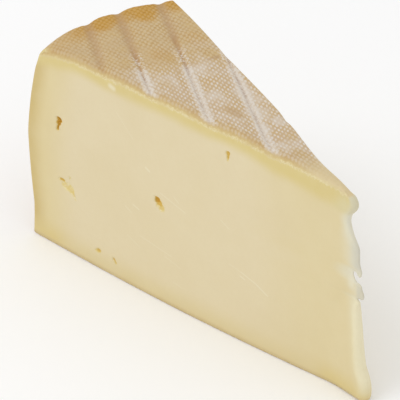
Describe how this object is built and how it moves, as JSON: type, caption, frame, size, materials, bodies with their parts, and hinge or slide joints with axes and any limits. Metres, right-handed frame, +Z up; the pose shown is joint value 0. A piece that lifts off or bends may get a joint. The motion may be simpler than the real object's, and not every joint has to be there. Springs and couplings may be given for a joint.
{
  "type": "raclette cheese wedge",
  "caption": "Narrow wedge cut from a round of raclette cheese, with a cloth-marked rind on top, smooth pale cuts with small eyes, and a thin ragged tip.",
  "frame": {"origin": "middle of the wedge's box, on the surface that it stands on", "axes": "+X from the rind of the wheel's side to the thin tip, +Y from the cut that shows to the other cut, +Z up through the top rind"},
  "size_m": [0.1524, 0.056, 0.0762],
  "materials": {
    "cheese": "pale ivory semi-hard cheese with a soft satin cut face, and a dry tan rind on top, side and foot with a cloth imprint, orange patches and whitish bloom"
  },
  "bodies": {
    "root": {"cheese_wedge": "cheese"}
  },
  "joints": []
}
